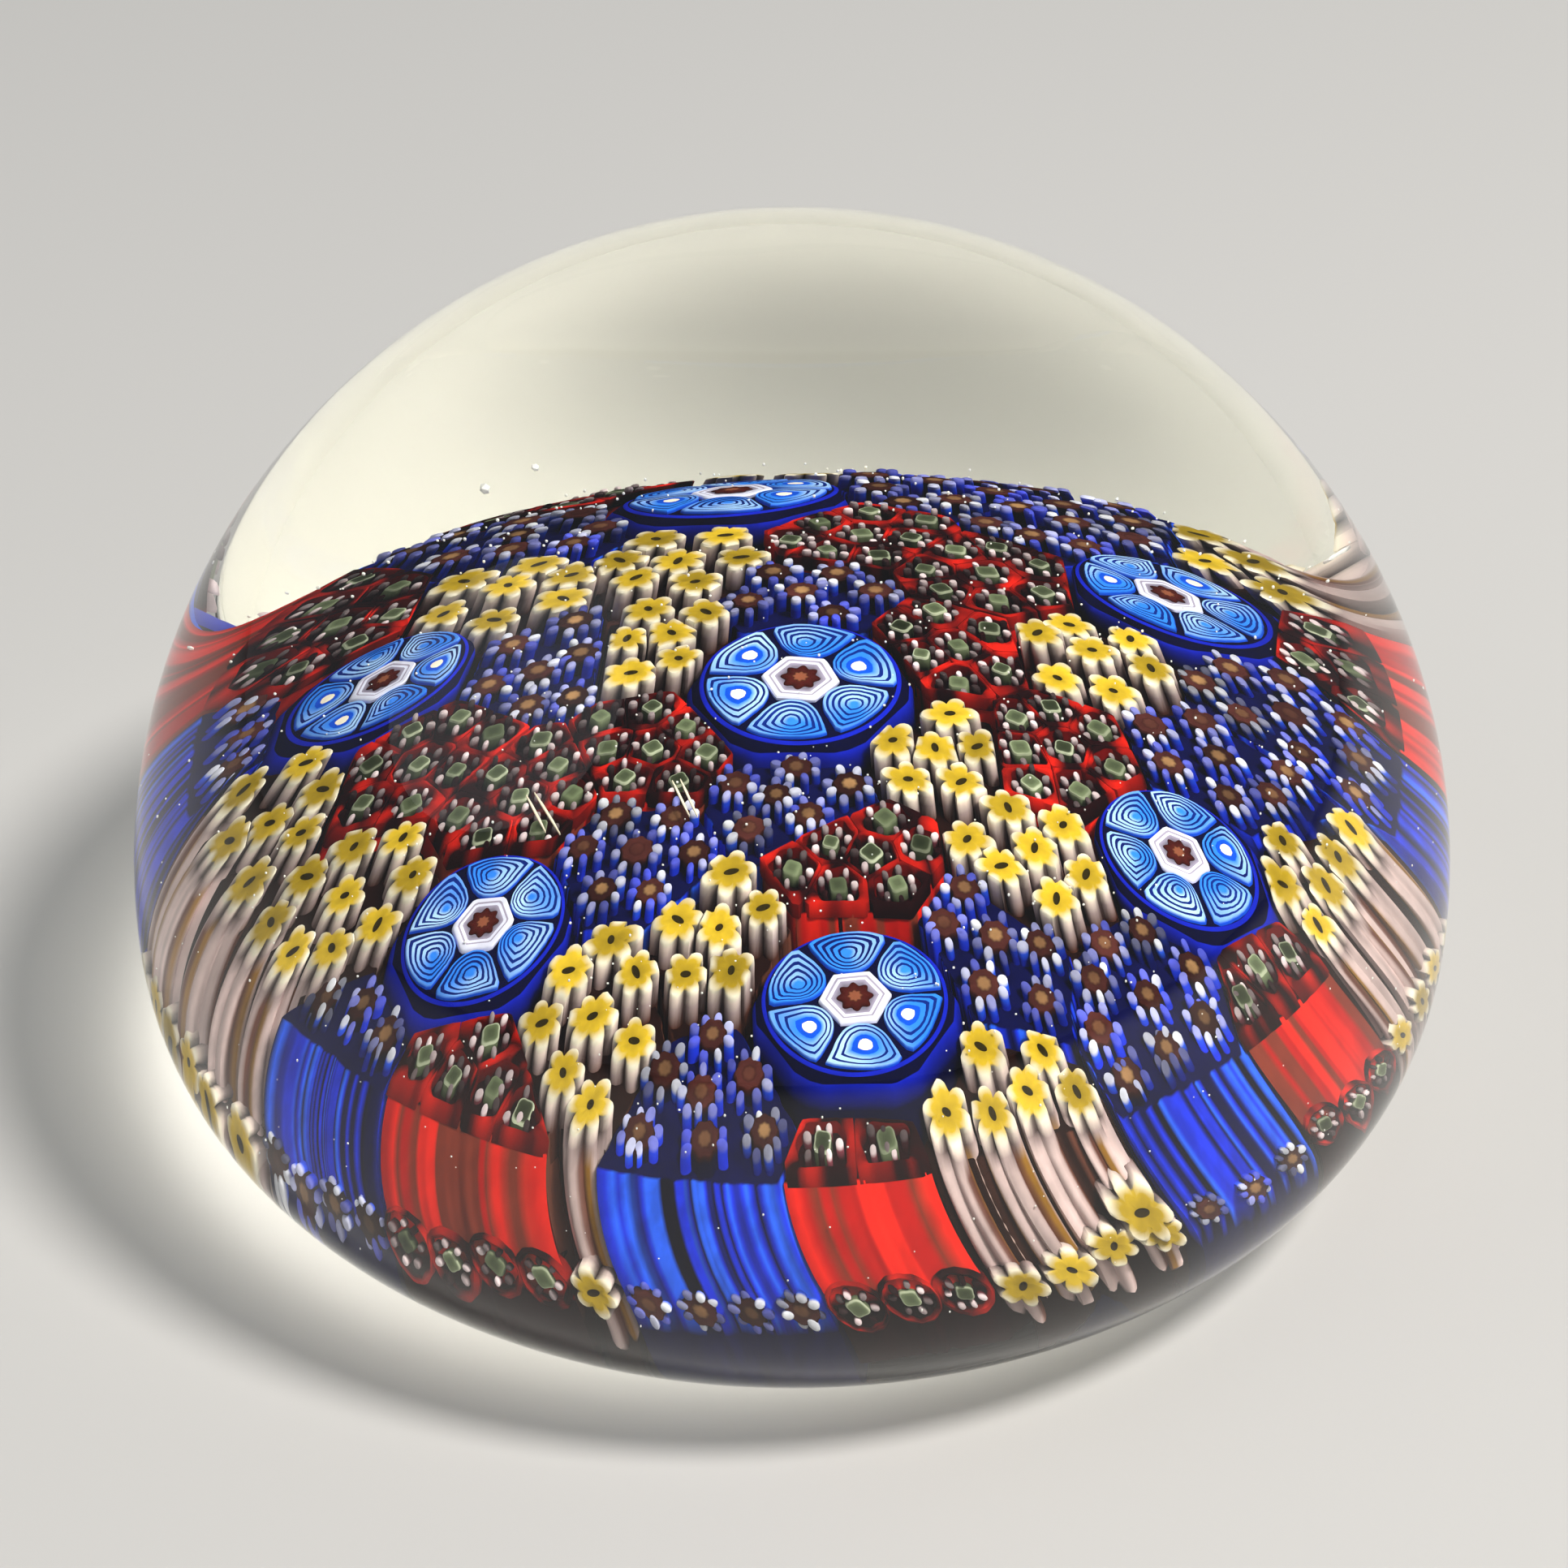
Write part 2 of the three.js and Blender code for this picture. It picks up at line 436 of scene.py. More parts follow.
def glass_material():
    """Clear glass, a little olive. Light that only crosses the outer glass on its way down to the
    floor is mostly held back, and light that reaches a cane inside is not."""
    material, tree, shader = node_material("clear_glass")
    shader.inputs["Base Color"].default_value = GLASS_TINT
    shader.inputs["Roughness"].default_value = 0.0
    shader.inputs["IOR"].default_value = GLASS_IOR
    shader.inputs["Transmission Weight"].default_value = 1
    path = tree.nodes.new("ShaderNodeLightPath")
    clear = tree.nodes.new("ShaderNodeBsdfTransparent")
    side = tree.nodes.new("ShaderNodeNewGeometry")
    passed = tree.nodes.new("ShaderNodeMapRange")
    passed.inputs["To Min"].default_value = PASSED_IN
    passed.inputs["To Max"].default_value = PASSED_OUT
    tree.links.new(side.outputs["Backfacing"], passed.inputs["Value"])
    tree.links.new(passed.outputs["Result"], clear.inputs["Color"])
    either = tree.nodes.new("ShaderNodeMixShader")
    output = tree.nodes["Material Output"]
    tree.links.new(path.outputs["Is Shadow Ray"], either.inputs["Fac"])
    tree.links.new(shader.outputs["BSDF"], either.inputs[1])
    tree.links.new(clear.outputs["BSDF"], either.inputs[2])
    tree.links.new(either.outputs["Shader"], output.inputs["Surface"])
    return material


def seed_material():
    material, tree, shader = node_material("seed_bubble")
    shader.inputs["Base Color"].default_value = (0.95, 0.95, 0.92, 1)
    shader.inputs["Roughness"].default_value = 0.2
    return material


def floor_material():
    material, tree, shader = node_material("floor")
    shader.inputs["Base Color"].default_value = (0.6, 0.59, 0.57, 1)
    shader.inputs["Roughness"].default_value = 0.7
    return material


MATERIALS = {
    "rosette": cane_material("rosette_glass", 0.5, 0.12, 0.35),
    "red": cane_material("red_glass", 0.2, 0.14, 0.4),
    "yellow": cane_material("yellow_glass", 0.2, 0.16, 0.35),
    "blue": cane_material("blue_glass", 0.12, 0.28, 0.35),
}


# ---- the star canes ----
LOBES = 6
STAR_POINTS = 48


def star_outline(centre, radius, turn, lengths, squash, cell):
    """Six rounded lobes with narrow valleys, held inside the cane's cell."""
    points = []
    for a in angles(STAR_POINTS):
        lobe = abs(math.cos((a - turn) * LOBES / 2)) ** 0.7
        own = lengths[round((a - turn) / (2 * math.pi) * LOBES) % LOBES]
        wanted = radius * (0.52 + 0.48 * lobe * own) * (1 + squash * math.cos(2 * (a - turn)))
        points.append(centre + cmath.rect(min(wanted, reach(cell, centre, a) - 0.04), a))
    return points


def lobe_share(turn):
    """1 at the tips of the lobes, 0 in the valleys."""
    return [abs(math.cos((a - turn) * LOBES / 2)) ** 1.5 for a in angles(STAR_POINTS)]


def yellow_cane(shape, at, centre, cell, rng, column=False):
    """A yellow six-lobed star edged in cream, with a dark oval hole and pinkish sides that carry
    painted shade.
    """
    radius = rng.uniform(1.25, 1.5)
    turn = rng.uniform(0, 2 * math.pi)
    lengths = [rng.uniform(0.7, 1.12) for _ in range(LOBES)]
    outline = star_outline(centre, radius, turn, lengths, rng.uniform(-0.09, 0.09), cell)
    hole_turn, hole_long = rng.uniform(0, math.pi), rng.uniform(0.22, 0.4)
    hole = []
    for a in angles(STAR_POINTS):
        corner = complex(hole_long * math.cos(a - hole_turn), 0.18 * math.sin(a - hole_turn))
        hole.append(centre + corner * cmath.rect(1, hole_turn))
    tips = lobe_share(turn)
    tone = rng.uniform(0.45, 1.0)
    yellow = shade(YELLOW, tone)
    cream = shade(CREAM, rng.uniform(0.65, 1.0))
    edge = [mix(yellow, cream, 1.2 * t - 0.1) for t in tips]
    inside = [mix(yellow, cream, 0.7 * t - 0.1) for t in tips]
    # Painted shade: from the lip down, the sides are dark brown in the valleys between the lobes,
    # and they get darker the further down they go, from the wall to the stem to the deepest levels.
    lip = [mix(DARK_BROWN, cream, 1.5 * t) for t in tips]
    wall = [mix(DARK_BROWN, mix(PINK, cream, 0.4), 1.3 * t) for t in tips]
    stem = [mix(DARK_BROWN, shade(PINK, 0.6), 1.1 * t) for t in tips]
    shaded_deep = [mix(DARK_BROWN, shade(BROWN, 0.8), t) for t in tips]
    pale = shade(PINK, rng.uniform(0.7, 1.05))
    lines = (BROWN, MUSTARD, pale, pale, shade(pale, 0.75), pale)
    start = rng.uniform(0, 6)
    stripe = []
    for i in range(STAR_POINTS):
        where = (i / STAR_POINTS * 18 + start) % 6
        stripe.append(mix(lines[int(where)], lines[(int(where) + 1) % 6], 2 * (where % 1) - 0.5))
    lift = rng.uniform(-0.3, 0.4)
    inner = [p + (q - p) * 0.5 for p, q in zip(hole, outline)]
    full = height(centre)
    face = [
        (outline, 0.85, stem, stem),
        (outline, 0.32, wall, wall),
        (scaled(outline, centre, 0.99), 0.09, lip, lip),
        (scaled(outline, centre, 0.93), 0.0, edge, edge),
        (scaled(outline, centre, 0.8), -0.02, inside, inside),
        (scaled(outline, centre, 0.62), -0.03, yellow, yellow),
        (inner, -0.03, yellow, yellow),
        (hole, 0.0, shade(yellow, 0.8), OLIVE),
        (scaled(hole, centre, 0.5), 0.1, OLIVE, OLIVE),
    ]
    if not column:
        levels = [(outline, 3.2, shaded_deep, shaded_deep), (outline, 1.8, shaded_deep, shaded_deep)]
        shape.stack(at, [(o, d - lift, a, b) for o, d, a, b in levels + face])
        return
    foot = [(scaled(outline, centre, 0.6), full - 0.2, DARK_BROWN, DARK_BROWN)]
    sides = [(outline, full * k / 12, stripe, stripe) for k in range(11, 1, -1)]
    shape.stack(at, foot + sides + [(o, d - lift * 0.5, a, b) for o, d, a, b in face])


def oval(centre, toward, long, wide, count=12):
    turn = cmath.rect(1, toward)
    return [centre + complex(long * math.cos(a), wide * math.sin(a)) * turn for a in angles(count)]


def petals(shape, at, cane, rng, ring, count, size, depth, colours, bright):
    """Small pale rods standing round the middle of a cane, some of them dim."""
    centre, cell = cane
    tip, upper, lower = colours
    turn = rng.uniform(0, 2 * math.pi)
    keep_in = 0.6 if at_rim(cell) else 0.24
    for i in range(count):
        a = turn + 2 * math.pi * (i + rng.uniform(-0.14, 0.14)) / count
        radius = min(ring * rng.uniform(0.93, 1.08), reach(cell, centre, a) - keep_in)
        middle = centre + cmath.rect(radius, a)
        rod = oval(middle, a, size * rng.uniform(0.95, 1.35), size * rng.uniform(0.75, 1.05))
        lift = depth + rng.uniform(-0.1, 0.2)
        own = bright(rng)
        pale, fading = mix(lower, tip, own), mix(lower, upper, own)
        levels = [
            (rod, 2.0, lower, lower),
            (rod, 0.75, lower, lower),
            (rod, 0.36, fading, fading),
            (rod, 0.12, pale, pale),
            (scaled(rod, middle, 0.82), 0.03, pale, pale),
            (scaled(rod, middle, 0.4), 0.0, pale, pale),
        ]
        shape.stack(at, [(o, d - lift, x, y) for o, d, x, y in levels])


def lobed(centre, radius, lobes, deepness, turn, count=32):
    return [
        centre + cmath.rect(radius * (1 + deepness * math.cos(lobes * (a - turn))), a)
        for a in angles(count)
    ]


def blue_cane(shape, at, centre, cell, rng):
    """A brown flower with a tan dot, ringed by pale petals that shade into blue."""
    radius = rng.uniform(0.72, 0.84)
    turn = rng.uniform(0, math.pi)
    middle = lobed(centre, radius, 8, 0.07, turn)
    brown = shade(CENTRE_BROWN, rng.uniform(0.3, 1.1))
    dot = mix(brown, TAN, rng.random())
    lift = rng.uniform(-0.25, 0.15)
    levels = [
        (middle, 2.4, NAVY, NAVY),
        (middle, 0.3, BLUE_BLACK, BLUE_BLACK),
        (middle, 0.08, shade(brown, 0.35), shade(brown, 0.35)),
        (scaled(middle, centre, 0.9), 0.0, shade(brown, 0.6), brown),
        (scaled(middle, centre, 0.5), 0.0, brown, shade(brown, 0.6)),
        (scaled(middle, centre, 0.3), -0.02, dot, dot),
        (scaled(middle, centre, 0.1), -0.03, dot, dot),
    ]
    shape.stack(at, [(o, d - lift, a, b) for o, d, a, b in levels])
    colours = (shade(LILAC_WHITE, 0.85), shade(BRIGHT_BLUE, 0.8), mix(COBALT, NAVY, rng.random()))
    petals(
        shape, at, (centre, cell), rng, radius + 0.19, 8, 0.24, lift + 0.02, colours,
        lambda rng: 0.08 + 0.85 * rng.random() ** 2.4,
    )


def red_cane(shape, at, centre, cell, rng):
    """A sage-green post in a dark well, ringed by small petals, mostly dim, in a red web."""
    radius = rng.uniform(0.42, 0.56)
    turn = rng.uniform(0, math.pi)
    middle = lobed(centre, radius, 4, 0.1, turn)
    sage = mix(SAGE, DEEP_SAGE, rng.random())
    outline = mix(PALE_SAGE, sage, rng.random())
    lift = rng.uniform(-0.2, 0.15)
    levels = [
        (middle, 2.2, MAROON, MAROON),
        (middle, 0.7, DEEP_SAGE, DEEP_SAGE),
        (middle, 0.12, sage, outline),
        (scaled(middle, centre, 0.92), 0.02, outline, outline),
        (scaled(middle, centre, 0.74), 0.0, sage, sage),
        (scaled(middle, centre, 0.3), 0.0, shade(sage, 0.6), shade(sage, 0.6)),
    ]
    shape.stack(at, [(o, d - lift, a, b) for o, d, a, b in levels])
    well = rng.uniform(0.95, 1.35)
    web = outline_of(cell, centre, 40)
    hole = []
    for a, p in zip(angles(40), web):
        wobble = 1 + 0.07 * math.cos(3 * a + turn) + 0.05 * math.cos(7 * a - turn)
        hole.append(centre + cmath.rect(min(well * wobble, abs(p - centre) - 0.15), a))
    between = [p + (q - p) * 0.5 for p, q in zip(hole, web)]
    own = rng.uniform(0.0, 0.45)
    red = []
    for p in web:
        patch = noise.noise(Vector((p.real * 0.8, p.imag * 0.8, 5)))
        red.append(mix(MAROON, shade(BRIGHT_RED, 0.75), own + 1.5 * patch + 0.05))
    # Painted shade: the web takes a half-bright copy of its red where it slopes down into the well
    # and down its outer side.
    dim = [shade(c, 0.5) for c in red]
    floor = mix(MAROON, shade(RED, 0.3), rng.random())
    shape.ring_body(
        at,
        [
            (web, 0.95, dim, dim),
            (web, 0.16, red, red),
            (between, 0.06, red, red),
            (hole, 0.16, dim, shade(RED, 0.2)),
            (scaled(hole, centre, 0.96), 0.6, floor, floor),
            (scaled(hole, centre, 0.94), 0.95, floor, floor),
        ],
    )
    colours = (PETAL_PINK, PETAL_ROSE, MAROON)
    petals(
        shape, at, (centre, cell), rng, 0.88, 7, 0.17, lift, colours,
        lambda rng: rng.random() ** 1.8,
    )


CANES = {"red": red_cane, "yellow": yellow_cane, "blue": blue_cane}
CASING_DEPTH = {"red": 0.7, "yellow": 1.5, "blue": 0.9}
# For yellow, the dark brown casing top seen down between the stars and the dark brown stripes on
# its sides behind the rim columns are painted shade of those gaps.
CASING_TOP = {"red": MAROON, "yellow": DARK_BROWN, "blue": NAVY}
STRIPES = {
    "red": (RED_BROWN, BRIGHT_RED, RED, RED_BROWN, BRIGHT_RED, RED, RED_BROWN),
    "yellow": (BROWN, DARK_BROWN, BROWN),
    "blue": (NAVY, COBALT, BLUE_BLACK, BRIGHT_BLUE, COBALT, BLUE_BLACK, COBALT, NAVY),
}
CASING_POINTS = 132
CASING_LEVELS = 14
DARK_FOOT = 0.34  # share of a casing's side, from its foot up, that is dark
YELLOW_INSET = 1.3  # on the wall a yellow casing stands back behind its canes


def stripe_colour(kind, p, seed):
    """The colour of a casing's side, in soft-edged stripes along the canes."""
    bands = STRIPES[kind]
    coarse, fine = (0.55, 0.1) if kind == "red" else (0.9, 0.45)
    broad = noise.noise(Vector((p.real * coarse, p.imag * coarse, seed)))
    narrow = noise.noise(Vector((p.real * 2.6, p.imag * 2.6, seed + 9)))
    where = (broad * 0.85 + narrow * fine + 0.5) * (len(bands) - 1)
    where = min(max(where, 0.0), len(bands) - 1.001)
    low = int(where)
    share = (where - low) * 3 - 1
    return mix(bands[low], bands[low + 1], share)


def casing(name, kind, room):
    """The glass that holds a bundle together, ridged and striped down its sides."""
    shape = Shape()
    centre = centroid(room)
    seed = sum(ord(c) for c in name) * 0.37
    outline = []
    for a in angles(CASING_POINTS):
        distance = reach(room, centre, a)
        p = centre + cmath.rect(distance, a)
        ridge = 0.14 * noise.noise(Vector((p.real * 1.8, p.imag * 1.8, seed)))
        if kind == "yellow" and abs(p) > 0.97 * CUSHION_R:
            ridge -= YELLOW_INSET
        outline.append(centre + cmath.rect(distance + ridge - 0.1, a))
    side = [stripe_colour(kind, p, seed) for p in outline]
    depth = CASING_DEPTH[kind]
    full = height(centre)
    top = CASING_TOP[kind]
    foot = full - 0.2
    levels = [(scaled(outline, centre, f), foot, top, top) for f in (0.3, 0.7, 0.99)]
    for k in range(CASING_LEVELS + 1):
        share = k / CASING_LEVELS
        paint = top if share < DARK_FOOT else side
        levels.append((outline, foot + (depth + 0.1 - foot) * share, paint, paint))
    levels += [(scaled(outline, centre, f), depth, top, top) for f in (0.985, 0.7, 0.3)]
    shape.stack(from_top, levels)
    finish_piece(name + "_casing", shape, MATERIALS[kind], kind + "_glass", name)


STRAY = "bundle_5_yellow_b"  # the bundle that has the stray cane
STRAY_RISE, STRAY_PROUD = 3.6, 0.7  # above the foot of the wall, and out from it
WALL_PITCH = 2.5  # from one outward cane end to the next
WALL_CELL_R = 1.42
WALL_RISE = (1.4, 2.1)
WALL_PROUD = 0.35


def stray_cane(shape, room, rng):
    """One yellow cane end that lies slantwise against the wall, so it looks long."""
    rim = sorted((p for p in room if abs(p) > ON_RIM), key=cmath.phase)
    centre = rim[len(rim) * 4 // 5]
    away = centre / abs(centre)
    cell = [centre + 1.6 * cmath.rect(1, t) for t in angles(12)]
    wall = on_wall(centre, STRAY_RISE, STRAY_PROUD)

    def at(p, depth):
        return wall(p + away * ((p - centre) / away).real * 0.8, depth)

    yellow_cane(shape, at, centre, cell, rng)


def wall_row(kind, room, shape, rng):
    """The ends of the rim canes, in a row that faces outward along the foot of the wall."""
    rim = [cmath.phase(p / centroid(room)) for p in room if abs(p) > ON_RIM]
    middle = cmath.phase(centroid(room))
    span = max(rim) - min(rim)
    count = max(round(span * CUSHION_R / WALL_PITCH), 1)
    for i in range(count):
        a = middle + min(rim) + span * (i + 0.5) / count
        centre = cmath.rect(CUSHION_R, a)
        cell = [centre + WALL_CELL_R * cmath.rect(1, t) for t in angles(12)]
        at = on_wall(centre, rng.uniform(*WALL_RISE), WALL_PROUD)
        CANES[kind](shape, at, centre, cell, rng)


def bundle(name, flower, kind):
    room = crowded(room_of(name), flower)
    rng = random.Random(name)
    shape = Shape()
    for centre, cell in cells_of(room, kind, rng):
        if kind == "yellow":
            yellow_cane(shape, from_top, centre, cell, rng, column=at_rim(cell))
        else:
            CANES[kind](shape, from_top, centre, cell, rng)
    if at_rim(room):
        wall_row(kind, room, shape, rng)
    if name == STRAY:
        stray_cane(shape, room, rng)
    finish_piece(name + "_canes", shape, MATERIALS[kind], kind + "_glass", name)
    casing(name, kind, room)


# ---- the rosette canes ----
PETAL_POINTS = 40


def tilted(centre, tilt):
    """from_top for a face that leans more or less than the cushion round it."""
    def at(p, depth):
        fall = top_z(abs(p)) - top_z(abs(centre))
        return from_top(p, depth + (1 - tilt) * fall)

    return at


def softened(polygon, times):
    """Cuts the corners off a polygon, more finely each time."""
    for _ in range(times):
        polygon = [
            a + (b - a) * share
            for a, b in zip(polygon, polygon[1:] + polygon[:1])
            for share in (0.25, 0.75)
        ]
    return polygon


def petal_outline(rng):
    """A petal pointing along +X: flat on the white heart, rounded at the rim of the rosette."""
    half = math.radians(30) - 0.05
    slip = rng.uniform(-0.05, 0.05)
    rim = [
        cmath.rect(PETAL_REACH * rng.uniform(0.94, 1.0), half * share + slip)
        for share in (-0.99, -0.4, 0.4, 0.99)
    ]
    inner = HEART + 0.08
    low, high = -math.tan(half) * inner, math.tan(half) * inner
    middle = PETAL_RING + 0.8
    corners = [complex(inner, low), complex(middle, -math.tan(half) * middle), *rim]
    corners += [complex(middle, math.tan(half) * middle), complex(inner, high)]
    return softened(corners, 3)


def rosette_petal(shape, at, turn, centre, size, rng):
    """Rings of pale blue and ink round a small dot, a little off the petal's middle."""
    polygon = [centre + size * p * cmath.rect(1, turn) for p in petal_outline(rng)]
    middle = centre + cmath.rect(PETAL_RING * size, turn)
    eye = middle + cmath.rect(rng.uniform(0.0, 0.32), rng.uniform(0, 2 * math.pi))
    edge = outline_of(polygon, eye, PETAL_POINTS)
    light_from = rng.uniform(0, 2 * math.pi)
    white = rng.uniform(0.0, 0.6)
    mean = sum(abs(p - eye) for p in edge) / len(edge)
    wobble = [rng.uniform(-0.014, 0.014) for _ in angles(PETAL_POINTS)]

    def ring(share):
        points = []
        for a, p, w in zip(angles(PETAL_POINTS), edge, wobble):
            own = abs(p - eye) * share
            even = mean * share
            points.append(eye + cmath.rect(own + (even - own) * (1 - share) * 0.9 + w, a))
        return points

    def pale(strength):
        return [
            mix(SKY, PALE_SKY, white + 0.45 * math.cos(a - light_from) * strength)
            for a in angles(PETAL_POINTS)
        ]

    big_dot = rng.random() < 0.3
    edges = [0.84, 0.64] if big_dot else [0.85, 0.67, 0.48, 0.27]
    ink = mix(INK, DEEP_SKY, rng.uniform(0, 0.2))
    levels = [
        (ring(1.0), 0.6, ROYAL, ROYAL),
        (ring(1.0), 0.1, DEEP_SKY, DEEP_SKY),
        (ring(0.97), 0.0, pale(0.6), pale(0.6)),
    ]
    for k, share in enumerate(edges):
        thick = rng.uniform(0.07, 0.1)
        levels.append((ring(share + thick / 2), 0.0, pale(1), ink))
        levels.append((ring(share - thick / 2), 0.015, ink, pale(1)))
    if big_dot:
        levels += [(ring(0.42), 0.0, SKY, DEEP_SKY), (ring(0.24), 0.0, DEEP_SKY, CREAM)]
        levels += [(ring(0.1), -0.02, CREAM, CREAM)]
    else:
        levels += [(ring(0.1), 0.0, SKY, SKY)]
    shape.stack(at, [(o, d - 0.2, a, b) for o, d, a, b in levels])


def heart(shape, at, turn, centre, size):
    """The white hexagon in the middle, and the maroon flower in it."""
    count = 48
    hexagon = []
    for a in angles(count):
        across = (a - turn + math.pi / 6) % (math.pi / 3) - math.pi / 6
        hexagon.append(centre + cmath.rect(HEART * size / math.cos(across), a))
    levels = [
        (scaled(hexagon, centre, 0.98), 0.6, ROYAL, ROYAL),
        (hexagon, 0.08, PEARL, PEARL),
        (scaled(hexagon, centre, 0.96), 0.0, PEARL, PEARL),
        (scaled(hexagon, centre, 0.82), 0.0, PEARL, GREY_PEARL),
        (scaled(hexagon, centre, 0.76), 0.02, GREY_PEARL, PEARL),
        # Painted shade: inside the thin grey line the pearl turns grey, darkening towards the foot
        # of the maroon flower.
        (scaled(hexagon, centre, 0.66), 0.02, PEARL, GREY_PEARL),
        (scaled(hexagon, centre, 0.5), 0.05, shade(GREY_PEARL, 0.5), shade(GREY_PEARL, 0.5)),
    ]
    shape.stack(at, [(o, d - 0.2, a, b) for o, d, a, b in levels])
    cog = lobed(centre, 0.86 * size, 8, 0.13, turn, 64)
    dark = shade(COG, 0.5)
    levels = [
        (cog, 0.5, dark, dark),
        (cog, 0.03, dark, dark),
        (scaled(cog, centre, 0.9), -0.02, COG, COG),
        (scaled(cog, centre, 0.45), -0.02, shade(COG, 1.6), dark),
        (scaled(cog, centre, 0.3), -0.03, COG_DOT, COG_DOT),
        (scaled(cog, centre, 0.12), -0.04, COG_DOT, COG_DOT),
    ]
    shape.stack(at, [(o, d - 0.2, a, b) for o, d, a, b in levels])


def rosette(name, number):
    room = room_of(name)
    rng = random.Random(name)
    centre = centroid(room)
    degrees, size, tilt = ROSETTES[number]
    turn = math.radians(degrees)
    at = tilted(centre, tilt)
    face = Shape()
    heart(face, at, turn, centre, size)
    for i in range(6):
        rosette_petal(face, at, turn + i * math.pi / 3, centre, size, rng)
    finish_piece(name + "_petals", face, MATERIALS["rosette"], "rosette_glass", name)
    body = Shape()
    petals_end = PETAL_REACH * size
    outline = scaled(outline_of(room, centre, 96), centre, (petals_end + CASING_RIM) / ROSETTE_R)
    widest = petals_end + COLLAR_RIM
    collar = [centre + (p - centre) * min(1, widest / abs(p - centre)) * 0.97 for p in outline]
    full = height(centre)
    # Painted shade: the near-black band between the casing's outline and its collar stands for the
    # shadowed gap round the rosette, and the sides darken from royal to near-black further down.
    levels = [
        (scaled(outline, centre, 0.5), full - 1.8, DEEP_ROYAL, DEEP_ROYAL),
        (outline, full - 2.2, DEEP_ROYAL, DEEP_ROYAL),
        (outline, full * 0.6, DEEP_ROYAL, DEEP_ROYAL),
        (outline, 3.0, DEEP_ROYAL, DEEP_ROYAL),
        (outline, 2.0, DEEP_ROYAL, DEEP_ROYAL),
        (outline, 0.9, shade(ROYAL, 0.6), shade(ROYAL, 0.6)),
        (scaled(outline, centre, 0.97), 0.5, ROYAL, DEEP_ROYAL),
        (collar, 0.08, DEEP_ROYAL, ROYAL),
        (scaled(collar, centre, 0.96), 0.0, ROYAL, DEEP_ROYAL),
        (scaled(collar, centre, 0.5), 0.0, DEEP_ROYAL, DEEP_ROYAL),
    ]
    body.stack(at, levels)
    finish_piece(name + "_casing", body, MATERIALS["rosette"], "rosette_glass", name)


for node in sorted(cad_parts):
    words = node.split("_")
    if words[0] == "bundle":
        bundle(node, int(words[1]), words[2])
    elif words[0] == "rosette":
        rosette(node, int(words[1]))


# ---- the clear glass ----
def dome_profile():
    """Half the outline of the paperweight, from the crown to the ground base."""
    def radius(z, half_height, power):
        return DOME_R * (1 - abs((z - WIDEST_Z) / half_height) ** power) ** (1 / power)

    upper, lower = 72, 40
    points = []
    for i in range(upper + 1):
        rise = math.sin(math.pi / 2 * (1 - i / upper))
        z = WIDEST_Z + (DOME_H - WIDEST_Z) * rise
        points.append((radius(z, DOME_H - WIDEST_Z, UPPER_POWER), z))
    for i in range(1, lower + 1):
        z = WIDEST_Z * math.cos(math.pi / 2 * i / lower)
        points.append((radius(z, WIDEST_Z - TUCK_Z, LOWER_POWER), z))
    base_r = points[-1][0]
    edge = 0.5
    points[-1] = (base_r - 0.15, edge * 0.3)
    points.append((base_r - edge, 0.0))
    return points


def clear_glass():
    """The dome and the pad under the canes are one body of glass."""
    around = 256
    work = bmesh.new()
    crown = work.verts.new((0, 0, DOME_H * MM))
    rings = []
    for r, z in dome_profile()[1:]:
        circle = [cmath.rect(r, a) for a in angles(around)]
        rings.append([work.verts.new((p.real * MM, p.imag * MM, z * MM)) for p in circle])
    for i in range(around):
        j = (i + 1) % around
        work.faces.new((crown, rings[0][i], rings[0][j]))
        for a, b in zip(rings, rings[1:]):
            work.faces.new((a[i], b[i], b[j], a[j]))
    work.faces.new(reversed(rings[-1]))
    mesh = bpy.data.meshes.new("clear_glass")
    work.to_mesh(mesh)
    work.free()
    mesh.shade_smooth()
    mesh.set_sharp_from_angle(angle=math.radians(30))
    mesh.materials.append(glass_material())
    glass = bpy.data.objects.new("clear_glass", mesh)
    bpy.context.scene.collection.objects.link(glass)
    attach(glass, "root")
    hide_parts("dome_glass")


clear_glass()


# ---- the ground base ----
def ground_base():
    """The underside is ground flat and matt, so from above it is a pale grey floor in the glass."""
    shape = Shape()
    radius = dome_profile()[-1][0] - 0.2
    section = [(0.35, 0.3), (0.7, 0.3), (0.97, 0.3), (1.0, 0.26), (1.0, 0.04), (0.97, 0.0)]
    rings = []
    for share, z in section:
        circle = [cmath.rect(radius * share, a) for a in angles(96)]
        rings.append(shape.ring([(p.real * MM, p.imag * MM, (z + 0.02) * MM) for p in circle]))
    for a, b in zip(rings, rings[1:]):
        shape.band(a, b, GROUND, GROUND)
    shape.cap(rings[0], GROUND)
    shape.cap(rings[-1], GROUND)
    material = cane_material("ground_base", 1, 0.1, 0.9)
    finish_piece("ground_base", shape, material, "clear_glass", "base_pad")


ground_base()


# ---- seeds and bubbles caught in the glass, and painted glints ----
SEEDS_ON_TOP, SEEDS_ON_WALL = 560, 150
# Two larger bubbles in the clear glass behind the crown: middle and radius.
BUBBLES = [((-12.3, 20.0, 19.9), 0.22), ((-10.2, 21.0, 20.2), 0.17)]


def add_seed(work, rng, middle, radius):
    made = bmesh.ops.create_icosphere(work, subdivisions=1, radius=radius * MM)
    bmesh.ops.scale(work, vec=(1, 1, rng.uniform(0.8, 1.6)), verts=made["verts"])
    bmesh.ops.translate(work, vec=Vector(middle), verts=made["verts"])


def caught_piece(name, work, material):
    mesh = bpy.data.meshes.new(name)
    work.to_mesh(mesh)
    work.free()
    mesh.materials.append(material)
    piece = bpy.data.objects.new(name, mesh)
    bpy.context.scene.collection.objects.link(piece)
    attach(piece, "root")


